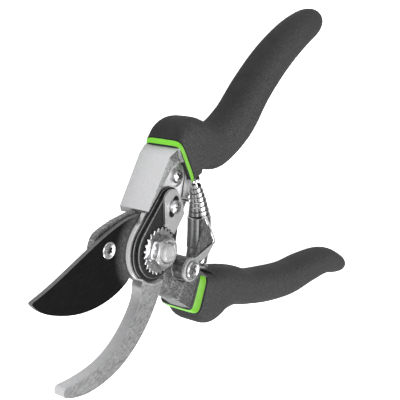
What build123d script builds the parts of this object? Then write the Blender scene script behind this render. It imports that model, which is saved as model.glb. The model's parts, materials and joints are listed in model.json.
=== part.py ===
from build123d import *
import os
from math import atan2, cos, degrees, hypot, radians, sin

# Bypass pruning shears, drawn fully open. Millimetres, +Z up.
# The pivot axis is the Z axis. The tool lies on its back: the pivot bolt head
# rests on z = 0 and the hex nut points up. +X runs toward the handles.

os.makedirs("parts", exist_ok=True)

# ---- levels -------------------------------------------------------------
BOLT_HEAD_TOP = 2.6
CARRIER_BOTTOM = 3.05
NOSE_BOTTOM = 9.0
CARRIER_TOP = 12.3
BLADE_TOP = 14.85
HOOK_BOTTOM = 14.9
HOOK_HEAD_TOP = 17.1
HOOK_JAW_TOP = 20.4
UNDER_PLATE_TOP = 18.55
COVER_PLATE_TOP = 20.0
DISC_TOP = 21.4
NUT_TOP = 26.0
BOLT_TOP = 27.2
FORGING_BOTTOM = 3.0
FORGING_TOP = 19.0
MOUTH_BOTTOM = 2.0
MOUTH_TOP = 20.5
NECK_STEP = 15.8
NECK_TOP = 20.0
GRIP_MID = 11.25
LEVER_BOTTOM = 21.6
LEVER_TOP = 22.8

# ---- pivot --------------------------------------------------------------
BOLT_R = 4.0
BOLT_HEAD_R = 8.5
BUSH_BORE_R = 4.05
BUSH_R = 5.5
NUT_FLATS = 13.0
NUT_TURN = 48.7
DISC_R = 10.3
DISC_ROOT_R = 9.1
DISC_TEETH = 24
HUB_R = 13.0
HOOK_HEAD_R = 14.6
BLADE_HUB_R = 15.0
PLATE_R = 14.0
FORGING_CLEAR_R = 16.0

# ---- places in plan -----------------------------------------------------
HOOK_SCREW = (26.6, 20.5)
HOOK_SCREW_HEAD_R = 3.2
TANG_END = (25.8, 21.0)
TANG_END_R = 6.2
TANG_GAP = 0.4
LOCK_SCREW = (15.5, 12.6)
LOCK_SCREW_HEAD_R = 3.1
LOCK_AXIS = 39.0
LOCK_TRAVEL = 2.5
BLADE_SCREW = (-20.4, 13.8)
BLADE_SCREW_R = 3.7
CATCH_CENTRE = (13.6, -20.3)
CATCH_PIN = (25.2, 9.6)
CATCH_PIN_R = 0.9
BOSS_R = 5.3
CATCH_RANGE = 8.0
STOP_PIN = (-9.36, -14.19)
OPEN_STOP_ANGLE = 83.0
CLOSED_ANGLE = 34.0

# ---- spring: its axis is an arc through three points --------------------
SPRING_AXIS = [(43.0, 6.6), (39.4, -13.6), (29.4, -31.6)]
SPRING_CONE_SHARE = 0.43
SPRING_BARREL_SHARE = 0.82
SPRING_CONE_TURNS = 7
SPRING_SMALL_R = 2.3
SPRING_LARGE_R = 5.1
SPRING_BARREL_R = 5.6
SPRING_WALL = 0.75

# ---- grips: centre x, centre y, half width, half depth, corner radius ----
UPPER_GRIP = [
    (32.0, 25.4, 11.4, 10.5, 3.0),
    (40.2, 26.5, 14.0, 10.9, 5.5),
    (49.0, 22.6, 11.2, 10.6, 7.4),
    (60.7, 15.8, 11.0, 9.4, 7.6),
    (80.0, 16.9, 10.3, 10.0, 8.0),
    (99.6, 24.3, 9.1, 10.0, 7.3),
    (120.0, 29.8, 9.2, 9.5, 7.4),
    (140.0, 32.5, 9.3, 8.7, 7.0),
    (156.0, 32.6, 8.8, 7.6, 6.2),
    (165.5, 31.4, 7.4, 6.6, 5.6),
    (171.3, 29.9, 4.3, 4.2, 3.6),
    (172.8, 29.5, 1.4, 1.4, 1.2),
]
LOWER_GRIP = [
    (18.6, -40.3, 9.5, 10.3, 3.0),
    (24.6, -47.6, 12.6, 10.9, 5.5),
    (35.8, -52.0, 11.4, 10.9, 7.4),
    (47.0, -59.0, 10.2, 10.0, 7.6),
    (57.3, -68.3, 9.3, 9.0, 7.2),
    (75.0, -80.6, 9.6, 9.8, 7.8),
    (95.0, -92.1, 9.4, 10.0, 7.6),
    (115.6, -100.3, 8.8, 9.7, 7.2),
    (135.3, -110.0, 8.1, 8.6, 6.6),
    (148.0, -121.2, 6.4, 7.0, 5.2),
    (155.2, -128.0, 4.2, 4.6, 3.4),
    (158.2, -130.9, 1.4, 1.4, 1.2),
]
UPPER_MOUTH_HEADING = 6.0
LOWER_MOUTH_HEADING = -44.5
TRIM_WALL = 1.6


def slab(outline, low, high):
    """Extrude a flat outline between two levels."""
    return extrude(Pos(0, 0, low) * outline, high - low)


def disc(centre, radius, low, high):
    return Pos(centre[0], centre[1], low) * Cylinder(
        radius, high - low, align=(Align.CENTER, Align.CENTER, Align.MIN))


def on_circle(radius, degrees, centre=(0, 0)):
    turn = radians(degrees)
    return (centre[0] + radius * cos(turn), centre[1] + radius * sin(turn))


def two_circle_link(start, start_r, end, end_r):
    """Flat shape of two circles joined by their outer tangents."""
    rings = Pos(*start) * CenterArc((0, 0), start_r, 0, 360)
    tail = Pos(*end) * CenterArc((0, 0), end_r, 0, 360)
    return make_hull(rings.edges() + tail.edges())


def cross_section(station, heading):
    x, y, half_width, half_depth, corner = station
    turn = radians(heading)
    plane = Plane(origin=(x, y, GRIP_MID), x_dir=(-sin(turn), cos(turn), 0),
                  z_dir=(cos(turn), sin(turn), 0))
    return plane * RectangleRounded(2 * half_width, 2 * half_depth, corner)


def grip_solid(stations, mouth_heading):
    """Loft a grip; each section faces along the line between its neighbours."""
    sections = [cross_section(stations[0], mouth_heading)]
    for place in range(1, len(stations)):
        before = stations[place - 1]
        after = stations[min(place + 1, len(stations) - 1)]
        heading = degrees(atan2(after[1] - before[1], after[0] - before[0]))
        sections.append(cross_section(stations[place], heading))
    return loft(sections)


def tang(stations, half_width):
    """Forged tongue inside a grip: a bar along the grip's centre line."""
    points = [(s[0], s[1]) for s in stations]
    bar = slab(trace(Polyline(*points), 2 * half_width), GRIP_MID - 4.5,
               GRIP_MID + 4.5)
    return bar


def ground_face(points):
    return make_face(Polyline(*points, close=True))


# ---- upper handle forging -----------------------------------------------
arc_start = on_circle(FORGING_CLEAR_R, -11.5)
arc_mid = on_circle(FORGING_CLEAR_R, 35)
arc_end = on_circle(FORGING_CLEAR_R, 82)
head_edges = [
    ThreePointArc(arc_start, arc_mid, arc_end),
    Polyline(arc_end, (2.5, 18.4), (23.5, 32.3), (27.7, 33.8), (36.0, 33.5),
             (39.5, 17.5), (36.0, 14.6), (30.6, 13.4), (28.8, 11.9), arc_start),
]
upper_forging = slab(make_face(head_edges), MOUTH_BOTTOM, MOUTH_TOP)
side_profile = Plane.XZ * ground_face([
    (-5, FORGING_BOTTOM), (2, FORGING_BOTTOM), (29.0, MOUTH_BOTTOM), (45, MOUTH_BOTTOM),
    (45, MOUTH_TOP), (27.7, MOUTH_TOP), (23.5, FORGING_TOP), (-5, FORGING_TOP)])
upper_forging = upper_forging & extrude(side_profile, 60, both=True)
upper_forging += tang(UPPER_GRIP[0:8], 4.0)
pocket = two_circle_link((0, 0), HUB_R + 2.5, TANG_END, TANG_END_R + TANG_GAP)
upper_forging -= slab(pocket, HOOK_BOTTOM, MOUTH_TOP + 1)
upper_forging -= disc((0, 0), FORGING_CLEAR_R, 0, MOUTH_TOP + 1)
upper_forging -= disc(HOOK_SCREW, 2.4, 6.0, HOOK_BOTTOM + 1)
upper_forging -= disc(LOCK_SCREW, 2.0, 6.0, HOOK_BOTTOM + 1)
upper_forging -= disc(CATCH_PIN, CATCH_PIN_R, 12.0, FORGING_TOP + 1)

# ---- hook (the fixed counter blade) --------------------------------------
link = two_circle_link((0, 0), HOOK_HEAD_R, TANG_END, TANG_END_R)
hook_blade = slab(link, HOOK_BOTTOM, HOOK_HEAD_TOP)
inner = Spline((-67.2, -17.0), (-55, -21.5), (-45, -23.0), (-35, -21.7),
               (-25, -17.7), (-17.5, -12.0), (-15.3, -8.0))
outer = Spline((-69.0, -21.0), (-58.9, -28.0), (-48.9, -31.0), (-38.9, -31.7),
               (-28.9, -30.0), (-18.9, -26.2), (-8.9, -20.0), (-3.0, -15.2))
jaw_outline = make_face([
    inner,
    Polyline((-15.3, -8.0), (-10.0, -2.0), (2.0, -6.0), (-3.0, -15.2)),
    outer,
    ThreePointArc((-69.0, -21.0), (-69.3, -18.4), (-67.2, -17.0)),
])
jaw = slab(jaw_outline, HOOK_BOTTOM, HOOK_JAW_TOP)
jaw -= disc((0, 0), PLATE_R + 0.4, HOOK_HEAD_TOP, HOOK_JAW_TOP + 1)
hook_blade += jaw
hook_blade -= disc((0, 0), BOLT_R, 10, 30)
hook_blade -= disc(HOOK_SCREW, 2.4, 10, 30)
hook_blade -= disc(HOOK_SCREW, 4.7, HOOK_HEAD_TOP - 0.9, 30)
hook_blade -= disc(LOCK_SCREW, 2.0, 10, 30)
hook_blade -= disc(STOP_PIN, 1.5, 10, HOOK_JAW_TOP - 2.5)
hook_blade -= disc(CATCH_PIN, CATCH_PIN_R, 10, 30)
stop_pin = disc(STOP_PIN, 1.5, CARRIER_TOP + 0.2, HOOK_JAW_TOP - 2.5)

# ---- screws of the upper handle -------------------------------------------
hook_screw = disc(HOOK_SCREW, 2.4, 6.0, HOOK_HEAD_TOP - 0.9)
hook_screw += disc(HOOK_SCREW, HOOK_SCREW_HEAD_R, HOOK_HEAD_TOP - 0.9, 18.9)
lock_screw = disc(LOCK_SCREW, 2.0, 6.0, 21.5)
lock_screw += disc(LOCK_SCREW, LOCK_SCREW_HEAD_R, 21.5, 23.7)

# ---- cover plates -----------------------------------------------------------
under_shape = two_circle_link((0, 0), PLATE_R, LOCK_SCREW, 8.2)
cover_shape = two_circle_link((0, 0), PLATE_R - 1.7, LOCK_SCREW, 6.9)
cover_plate_under = slab(under_shape, HOOK_HEAD_TOP, UNDER_PLATE_TOP)
cover_plate = slab(cover_shape, UNDER_PLATE_TOP, COVER_PLATE_TOP)
for centre, radius in (((0, 0), BOLT_R), (LOCK_SCREW, 2.0)):
    cover_plate_under -= disc(centre, radius, 15, 22)
    cover_plate -= disc(centre, radius, 15, 22)
cover_plate_under -= disc(HOOK_SCREW, HOOK_SCREW_HEAD_R + 0.4, 15, 22)

# ---- toothed disc and lock plate ------------------------------------------------
rim = []
for tooth in range(DISC_TEETH):
    base = 360 / DISC_TEETH * (tooth + 0.5) + NUT_TURN
    for turn, radius in ((-0.40, 0), (-0.14, 1), (0.14, 1), (0.40, 0)):
        reach = DISC_ROOT_R + radius * (DISC_R - DISC_ROOT_R)
        rim.append(on_circle(reach, base + turn * 360 / DISC_TEETH))
toothed_disc = slab(ground_face(rim), COVER_PLATE_TOP, DISC_TOP)
toothed_disc -= disc((0, 0), BOLT_R, 15, 30)

along = (cos(radians(LOCK_AXIS)), sin(radians(LOCK_AXIS)))
lock_edges = [
    Polyline((6.6, 8.6), (7.6, 8.6), (11.3, 18.6)),
    ThreePointArc((11.3, 18.6), (16.2, 20.6), (20.4, 17.2)),
    Polyline((20.4, 17.2), (21.6, 10.6), (20.4, 5.4), (14.6, 2.6), (10.9, 1.2),
             (6.6, 8.6)),
]
lock_plate = slab(make_face(lock_edges), COVER_PLATE_TOP + 0.05, 21.45)
# the gap of a tooth opens exactly where a disc tooth stands
gap = []
for tooth in range(DISC_TEETH):
    base = 360 / DISC_TEETH * (tooth + 0.5) + NUT_TURN
    for turn, radius in ((-0.44, 0), (-0.20, 1), (0.20, 1), (0.44, 0)):
        reach = DISC_ROOT_R + 0.35 + radius * (DISC_R - DISC_ROOT_R)
        gap.append(on_circle(reach, base + turn * 360 / DISC_TEETH))
lock_plate -= slab(ground_face(gap), 15, 25)
slot = SlotCenterToCenter(LOCK_TRAVEL + 3.0, 4.2)
slot_centre = (LOCK_SCREW[0] + 0.1 * along[0], LOCK_SCREW[1] + 0.1 * along[1])
lock_plate -= slab(Pos(*slot_centre) * Rot(0, 0, LOCK_AXIS) * slot, 15, 25)

# ---- pivot bolt, washer, bush, nut -------------------------------------------------
pivot_bolt = disc((0, 0), BOLT_HEAD_R, 0, BOLT_HEAD_TOP)
pivot_bolt = chamfer(pivot_bolt.edges().group_by(Axis.Z)[0], 0.6)
pivot_bolt += disc((0, 0), BOLT_R, 0, BOLT_TOP)
pivot_washer = disc((0, 0), 10.0, BOLT_HEAD_TOP, 3.0) - disc((0, 0), BOLT_R, 0, 9)
pivot_bush = disc((0, 0), BUSH_R, CARRIER_BOTTOM, BLADE_TOP)
pivot_bush -= disc((0, 0), BUSH_BORE_R, 0, 20)
nut_shape = Rot(0, 0, NUT_TURN + 30) * RegularPolygon(NUT_FLATS / 2, 6, major_radius=False)
pivot_nut = slab(nut_shape, DISC_TOP, NUT_TOP)
pivot_nut -= disc((0, 0), BOLT_R, 15, 30)

# ---- cutting blade ---------------------------------------------------------------
stop_low = on_circle(BLADE_HUB_R, OPEN_STOP_ANGLE)
heel = on_circle(BLADE_HUB_R, 197)
blade_edges = [
    Polyline(stop_low, on_circle(16.8, OPEN_STOP_ANGLE), (-5, 19.0)),
    Spline((-5, 19.0), (-15, 20.3), (-25, 20.6), (-62.4, 20.7)),
    Polyline((-62.4, 20.7), (-63.2, 20.2)),
    Spline((-63.2, 20.2), (-60.4, 13.8), (-55.2, 8.0), (-45, 0.3), (-35, -4.0),
           (-25, -5.9), (-17.2, -5.5)),
    Polyline((-17.2, -5.5), heel),
    ThreePointArc(heel, on_circle(BLADE_HUB_R, 320), stop_low),
]
cutting_blade = slab(make_face(blade_edges), CARRIER_TOP, BLADE_TOP)
cutting_blade -= disc((0, 0), BUSH_R, 5, 20)
cutting_blade -= disc(BLADE_SCREW, BLADE_SCREW_R, CARRIER_TOP + 0.9, 20)
cutting_blade -= disc(BLADE_SCREW, 2.2, 5, 20)
blade_screw = disc(BLADE_SCREW, 2.2, NOSE_BOTTOM, CARRIER_TOP + 0.9)
blade_screw += disc(BLADE_SCREW, BLADE_SCREW_R, CARRIER_TOP + 0.9, BLADE_TOP)

# ---- lower handle forging -----------------------------------------------------------
carrier = disc((0, 0), HUB_R, CARRIER_BOTTOM, CARRIER_TOP)
carrier += slab(two_circle_link((0, 0), HUB_R, (-19.5, 14.2), 8.0),
                NOSE_BOTTOM, CARRIER_TOP)
shoulder = ground_face([(0, 0), on_circle(18.0, OPEN_STOP_ANGLE), (-10, 21.0),
                        (-18, 22.1), (-19.5, 14.2)])
carrier += slab(shoulder, NOSE_BOTTOM, CARRIER_TOP)
low_neck = ground_face([(-7.0, -9.0), (6.0, -29.5), (14.0, -46.0), (27.0, -36.0),
                        (22.0, -23.0), (11.0, -11.5), (0, 0)])
neck_low = slab(low_neck, CARRIER_BOTTOM, CARRIER_TOP)
high_neck = make_face([
    Polyline(on_circle(15.4, -76), (2.2, -29.8), (9.0, -41.5), (17.0, -47.0),
             (29.0, -37.5), (22.6, -27.0), (20.3, -20.0), (17.0, -16.2),
             on_circle(15.4, -54)),
    ThreePointArc(on_circle(15.4, -54), on_circle(15.4, -65), on_circle(15.4, -76)),
])
neck_high = slab(high_neck, 8.5, NECK_STEP)
neck_top = ground_face([(10.2, -26.1), (3.1, -30.7), (3.8, -32.5), (9.0, -41.5),
                        (17.0, -47.0), (29.0, -37.5), (22.6, -27.0), (18.5, -25.4)])
neck_high += slab(neck_top, NECK_STEP, NECK_TOP)
lower_forging = carrier + neck_low + neck_high
lower_forging += disc(CATCH_CENTRE, BOSS_R, 8.0, LEVER_BOTTOM - 0.05)
lower_forging += tang(LOWER_GRIP[0:10], 4.0)
lower_forging -= disc((0, 0), 15.4, CARRIER_TOP, 40)
lower_forging -= disc((0, 0), BUSH_R, 0, 20)
lower_forging -= disc(BLADE_SCREW, 2.2, 5.0, 20)
lower_forging -= disc(CATCH_CENTRE, 2.0, 9.0, 30)

# ---- catch lever, its screw and pin -----------------------------------------------------
def lever_polar(radius, degrees):
    return on_circle(radius, degrees, CATCH_CENTRE)


pin_from_pivot = hypot(CATCH_PIN[0], CATCH_PIN[1])
pin_angle = degrees(atan2(CATCH_PIN[1], CATCH_PIN[0])) - CLOSED_ANGLE
pin_closed = on_circle(pin_from_pivot, pin_angle)
pin_reach = hypot(pin_closed[0] - CATCH_CENTRE[0], pin_closed[1] - CATCH_CENTRE[1])
pin_turn = degrees(atan2(pin_closed[1] - CATCH_CENTRE[1], pin_closed[0] - CATCH_CENTRE[0]))
finger_turn = pin_turn - 3.2
notch_turn = pin_turn - CATCH_RANGE - 3.3
plate_outline = ground_face([
    (14.6, -15.1), (19.2, -16.2), lever_polar(16.0, notch_turn),
    lever_polar(pin_reach + 1.1, notch_turn), lever_polar(pin_reach + 1.1, finger_turn),
    lever_polar(pin_reach + 3.4, finger_turn), (31.5, -2.4), (33.9, -18.8),
    (27.0, -24.5), (19.0, -25.0), (13.6, -25.6)])
catch_lever = slab(plate_outline, LEVER_BOTTOM, LEVER_TOP)
catch_lever += disc(CATCH_CENTRE, BOSS_R, LEVER_BOTTOM, LEVER_TOP)
rim_outline = ground_face([
    (31.5, -2.4), (33.9, -18.8), (19.0, -18.6), (19.2, -17.4), (32.6, -17.7),
    (30.6, -4.0)])
catch_lever += slab(rim_outline, LEVER_TOP, LEVER_TOP + 0.9)
wall_outline = ground_face([(19.8, -15.8), (25.2, -11.6), (26.0, -12.6), (20.6, -16.8)])
catch_lever += slab(wall_outline, LEVER_BOTTOM - 6.0, LEVER_BOTTOM)
catch_lever -= disc(CATCH_CENTRE, 2.66, 10, 40)
catch_screw = disc(CATCH_CENTRE, 2.0, 9.0, LEVER_BOTTOM - 0.05)
catch_screw += disc(CATCH_CENTRE, 2.6, LEVER_BOTTOM - 0.05, LEVER_TOP + 0.05)
catch_screw += disc(CATCH_CENTRE, 4.1, LEVER_TOP + 0.05, LEVER_TOP + 1.6)
catch_pin = disc(CATCH_PIN, CATCH_PIN_R, 12.0, 22.6)

# ---- spring, its peg and its seat ------------------------------------------------------------
spring_axis = Plane(origin=(0, 0, GRIP_MID)) * ThreePointArc(*SPRING_AXIS)


def spring_place(share):
    """Frame on the spring's axis whose z runs from the small end to the large end."""
    return Plane(origin=spring_axis @ share, x_dir=(0, 0, 1), z_dir=spring_axis % share)


def spring_band(start, end, outside):
    """One visible band of the spring: a short tube between two shares of the axis."""
    length = (end - start) * spring_axis.length
    tube = Cylinder(outside, length) - Cylinder(outside - SPRING_WALL, length + 2)
    return spring_place((start + end) / 2) * tube


return_spring = spring_band(SPRING_CONE_SHARE, SPRING_BARREL_SHARE, SPRING_BARREL_R)
return_spring += spring_band(SPRING_BARREL_SHARE - 0.03, 0.985, SPRING_LARGE_R)
cone_step = SPRING_CONE_SHARE / SPRING_CONE_TURNS
for turn in range(SPRING_CONE_TURNS):
    share = turn / (SPRING_CONE_TURNS - 1)
    outside = SPRING_SMALL_R + share * (SPRING_LARGE_R - SPRING_SMALL_R)
    start = cone_step * turn
    start += 0.01 if turn == 0 else 0
    return_spring += spring_band(start, cone_step * (turn + 1) + 0.025, outside)

peg_place = spring_place(0)
peg_shape = Cylinder(1.4, 16, align=(Align.CENTER, Align.CENTER, Align.MIN))
upper_spring_peg = peg_place * Pos(0, 0, -14.0) * peg_shape
collar = Cylinder(2.9, 1.5, align=(Align.CENTER, Align.CENTER, Align.MAX))
upper_spring_peg += peg_place * Pos(0, 0, -0.2) * collar
upper_forging -= peg_place * Pos(0, 0, -14.0) * peg_shape

seat_place = spring_place(1)
seat_disc = Cylinder(6.2, 1.6, align=(Align.CENTER, Align.CENTER, Align.MIN))
seat_stem = Cylinder(3.0, 11.0, align=(Align.CENTER, Align.CENTER, Align.MIN))
spring_seat = seat_place * seat_disc + seat_place * seat_stem
nose = Cylinder(3.9, 4.0, align=(Align.CENTER, Align.CENTER, Align.MAX))
spring_seat += seat_place * Pos(0, 0, 0.5) * nose
lower_forging -= spring_seat

# ---- trims and grips -----------------------------------------------------------------------------
upper_start = (29.9, 24.0, 10.0, 9.5, 2.0)
lower_start = (14.2, -34.9, 8.5, 9.3, 2.0)


def trim_ring(start, start_heading, end, end_heading):
    """A band round the forging at the mouth of a grip."""
    wall = TRIM_WALL
    inner_start = (start[0], start[1], start[2] - wall, start[3] - wall, 1.0)
    inner_end = (end[0], end[1], end[2] - wall, end[3] - wall, 1.0)
    outer = loft([cross_section(start, start_heading), cross_section(end, end_heading)])
    inner = loft([cross_section(inner_start, start_heading),
                  cross_section(inner_end, end_heading)])
    return outer - inner


upper_trim = trim_ring(upper_start, UPPER_MOUTH_HEADING, UPPER_GRIP[0], UPPER_MOUTH_HEADING)
upper_trim -= slab(pocket, HOOK_BOTTOM, MOUTH_TOP - 1.6)
upper_forging -= upper_trim
lower_trim = trim_ring(lower_start, -47.0, LOWER_GRIP[0], LOWER_MOUTH_HEADING)
lower_trim -= spring_seat
lower_forging -= lower_trim
upper_grip = grip_solid(UPPER_GRIP, UPPER_MOUTH_HEADING)
upper_grip -= upper_forging
upper_grip -= upper_spring_peg
lower_grip = grip_solid(LOWER_GRIP, LOWER_MOUTH_HEADING)
lower_grip -= lower_forging
lower_grip -= spring_seat

NODES = {
    "upper_handle_forging": upper_forging,
    "upper_grip": upper_grip,
    "upper_trim": upper_trim,
    "hook_blade": hook_blade,
    "hook_screw": hook_screw,
    "stop_pin": stop_pin,
    "cover_plate_under": cover_plate_under,
    "cover_plate": cover_plate,
    "toothed_disc": toothed_disc,
    "lock_plate": lock_plate,
    "lock_screw": lock_screw,
    "pivot_bolt": pivot_bolt,
    "pivot_washer": pivot_washer,
    "pivot_nut": pivot_nut,
    "catch_pin": catch_pin,
    "upper_spring_peg": upper_spring_peg,
    "return_spring": return_spring,
    "lower_handle_forging": lower_forging,
    "lower_grip": lower_grip,
    "lower_trim": lower_trim,
    "spring_seat": spring_seat,
    "pivot_bush": pivot_bush,
    "cutting_blade": cutting_blade,
    "blade_screw": blade_screw,
    "catch_lever": catch_lever,
    "catch_screw": catch_screw,
}

for name, shape in NODES.items():
    export_step(shape, f"parts/{name}.step")
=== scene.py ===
import bmesh
import bpy
import json
from math import acos, atan2, cos, degrees, pi, radians, sin, tau
from mathutils import Matrix, Vector
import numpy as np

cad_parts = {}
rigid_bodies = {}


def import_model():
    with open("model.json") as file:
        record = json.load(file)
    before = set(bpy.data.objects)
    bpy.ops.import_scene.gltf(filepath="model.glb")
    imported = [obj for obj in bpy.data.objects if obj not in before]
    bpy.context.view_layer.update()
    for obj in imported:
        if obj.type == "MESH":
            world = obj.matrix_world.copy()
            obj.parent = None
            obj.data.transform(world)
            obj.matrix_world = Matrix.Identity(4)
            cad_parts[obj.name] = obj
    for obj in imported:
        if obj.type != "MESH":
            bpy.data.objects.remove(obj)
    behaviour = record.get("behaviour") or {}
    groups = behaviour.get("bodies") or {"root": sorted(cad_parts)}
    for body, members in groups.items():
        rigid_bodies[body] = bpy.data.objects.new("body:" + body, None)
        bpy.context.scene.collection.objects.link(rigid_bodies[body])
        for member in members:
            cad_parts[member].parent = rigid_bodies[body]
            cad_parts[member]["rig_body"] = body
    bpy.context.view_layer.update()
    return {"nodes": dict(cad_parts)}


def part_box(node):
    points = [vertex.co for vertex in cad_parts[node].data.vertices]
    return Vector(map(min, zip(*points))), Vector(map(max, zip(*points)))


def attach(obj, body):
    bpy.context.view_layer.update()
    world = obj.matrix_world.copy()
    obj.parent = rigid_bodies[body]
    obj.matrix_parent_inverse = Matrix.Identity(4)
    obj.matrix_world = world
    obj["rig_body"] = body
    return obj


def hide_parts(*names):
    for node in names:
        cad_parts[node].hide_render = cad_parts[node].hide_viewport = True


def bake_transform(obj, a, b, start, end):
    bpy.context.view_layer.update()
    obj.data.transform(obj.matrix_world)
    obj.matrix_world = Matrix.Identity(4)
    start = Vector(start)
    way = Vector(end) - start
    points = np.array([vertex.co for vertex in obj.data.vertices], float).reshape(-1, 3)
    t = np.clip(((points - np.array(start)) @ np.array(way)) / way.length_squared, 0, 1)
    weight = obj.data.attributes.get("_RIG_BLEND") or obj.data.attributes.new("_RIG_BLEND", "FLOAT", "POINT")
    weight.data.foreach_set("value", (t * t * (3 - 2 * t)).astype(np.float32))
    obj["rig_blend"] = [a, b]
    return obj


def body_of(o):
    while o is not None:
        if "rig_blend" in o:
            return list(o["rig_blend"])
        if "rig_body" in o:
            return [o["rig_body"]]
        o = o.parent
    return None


# Bypass pruning shears, drawn open, lying with the pivot nut up.
# Sizes and places are in millimetres, in the frame of the CAD model.
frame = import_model()
MM = 0.001
NODES = frame["nodes"]

# ---- sizes that several pieces share, in millimetres ---------------------------------
BOLT_R = 4.0
HUB_R = 13.0
FORGING_CLEAR_R = 16.0
BLADE_NOSE = (-19.5, 14.2)
BLADE_NOSE_R = 8.0
CARRIER_LOW = 3.05
NOSE_LOW = 9.0
CARRIER_TOP = 12.28
TANG_LEVEL = 14.9
FORGING_TOP = 19.0
MOUTH_TOP = 20.5
TANG_END = (25.8, 21.0)
LEVER_EYE = 21.6


def node_box(node):
    """Lowest and highest corner of a CAD node, in millimetres."""
    low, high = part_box(node)
    return low / MM, high / MM


def node_centre(node):
    low, high = node_box(node)
    return (low + high) / 2


# ---- mesh helpers ---------------------------------------------------------------
def add_object(name, mesh):
    piece = bpy.data.objects.new(name, mesh)
    bpy.context.scene.collection.objects.link(piece)
    return piece


def mesh_object(name, points, faces):
    """A closed mesh from points in millimetres, its normals turned outward."""
    mesh = bpy.data.meshes.new(name)
    mesh.from_pydata([Vector(point) * MM for point in points], [], faces)
    shape = bmesh.new()
    shape.from_mesh(mesh)
    bmesh.ops.remove_doubles(shape, verts=shape.verts, dist=0.001 * MM)
    bmesh.ops.recalc_face_normals(shape, faces=shape.faces)
    shape.to_mesh(mesh)
    shape.free()
    return add_object(name, mesh)


def apply_modifiers(piece):
    bpy.context.view_layer.update()
    evaluated = piece.evaluated_get(bpy.context.evaluated_depsgraph_get())
    mesh = bpy.data.meshes.new_from_object(evaluated)
    piece.modifiers.clear()
    piece.data = mesh
    return piece


def boolean(piece, tool, operation="DIFFERENCE"):
    """Cuts tool out of piece, or joins it on, and deletes tool."""
    step = piece.modifiers.new("boolean", "BOOLEAN")
    step.operation = operation
    step.object = tool
    step.solver = "EXACT"
    apply_modifiers(piece)
    bpy.data.objects.remove(tool)
    return piece


def flatten(piece, angle=0.8):
    """Joins faces that lie in one plane, so that only real edges are left."""
    shape = bmesh.new()
    shape.from_mesh(piece.data)
    bmesh.ops.remove_doubles(shape, verts=shape.verts, dist=0.002 * MM)
    bmesh.ops.dissolve_limit(shape, angle_limit=radians(angle), verts=shape.verts,
                             edges=shape.edges)
    bmesh.ops.recalc_face_normals(shape, faces=shape.faces)
    shape.to_mesh(piece.data)
    shape.free()
    return piece


def soften(piece, width, segments=3, angle=32, edge_slot=-1):
    """Rounds the piece's sharp edges; edge_slot gives the rounding its own material."""
    step = piece.modifiers.new("bevel", "BEVEL")
    step.width = width * MM
    step.segments = segments
    step.limit_method = "ANGLE"
    step.angle_limit = radians(angle)
    step.use_clamp_overlap = True
    step.material = edge_slot
    return apply_modifiers(piece)


def shade(piece, sharp_angle=38):
    """Smooth shading that keeps flat faces flat."""
    piece.data.shade_smooth()
    piece.data.set_sharp_from_angle(angle=radians(sharp_angle))
    weigh = piece.modifiers.new("weighted_normal", "WEIGHTED_NORMAL")
    weigh.keep_sharp = True
    weigh.weight = 80
    return apply_modifiers(piece)


def loft(name, loops, closed_run=False):
    """Skins loops that hold the same number of points; the two ends are capped."""
    count = len(loops[0])
    points = [point for loop in loops for point in loop]
    faces = []
    spans = len(loops) if closed_run else len(loops) - 1
    for row in range(spans):
        here = row * count
        there = (row + 1) % len(loops) * count
        for column in range(count):
            beside = (column + 1) % count
            faces.append((here + column, here + beside, there + beside, there + column))
    if not closed_run:
        faces.append(tuple(range(count))[::-1])
        faces.append(tuple(range((len(loops) - 1) * count, len(loops) * count)))
    return mesh_object(name, points, faces)


def ring(radius, level, centre=(0, 0), steps=96):
    return [(centre[0] + radius * cos(tau * step / steps),
             centre[1] + radius * sin(tau * step / steps), level) for step in range(steps)]


def lathe(name, profile, centre=(0, 0), steps=96):
    """Turns a profile of (radius, level) pairs about a vertical axis."""
    return loft(name, [ring(max(radius, 0.002), level, centre, steps)
                       for radius, level in profile])


def tube(name, profile, centre=(0, 0), steps=96):
    """Like lathe, for a closed profile that leaves the axis free."""
    return loft(name, [ring(radius, level, centre, steps) for radius, level in profile], True)


def prism(name, outline, low, high):
    """Extrudes an outline of (x, y) pairs between two levels."""
    return loft(name, [[(x, y, low) for x, y in outline], [(x, y, high) for x, y in outline]])


def from_cad(node):
    """A copy of a CAD node's mesh, named after the node, ready to be worked on."""
    mesh = NODES[node].data.copy()
    mesh.materials.clear()
    piece = add_object("look_" + node, mesh)
    return flatten(piece)


def place_on(piece, matrix):
    """Moves a mesh drawn about the origin to where matrix (in millimetres) says."""
    placed = matrix.copy()
    placed.translation = matrix.translation * MM
    piece.data.transform(placed)
    return piece


def stand_for(piece, *nodes):
    """piece rides with these CAD nodes and is shown for them."""
    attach(piece, body_of(NODES[nodes[0]])[0])
    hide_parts(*nodes)
    return piece


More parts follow.
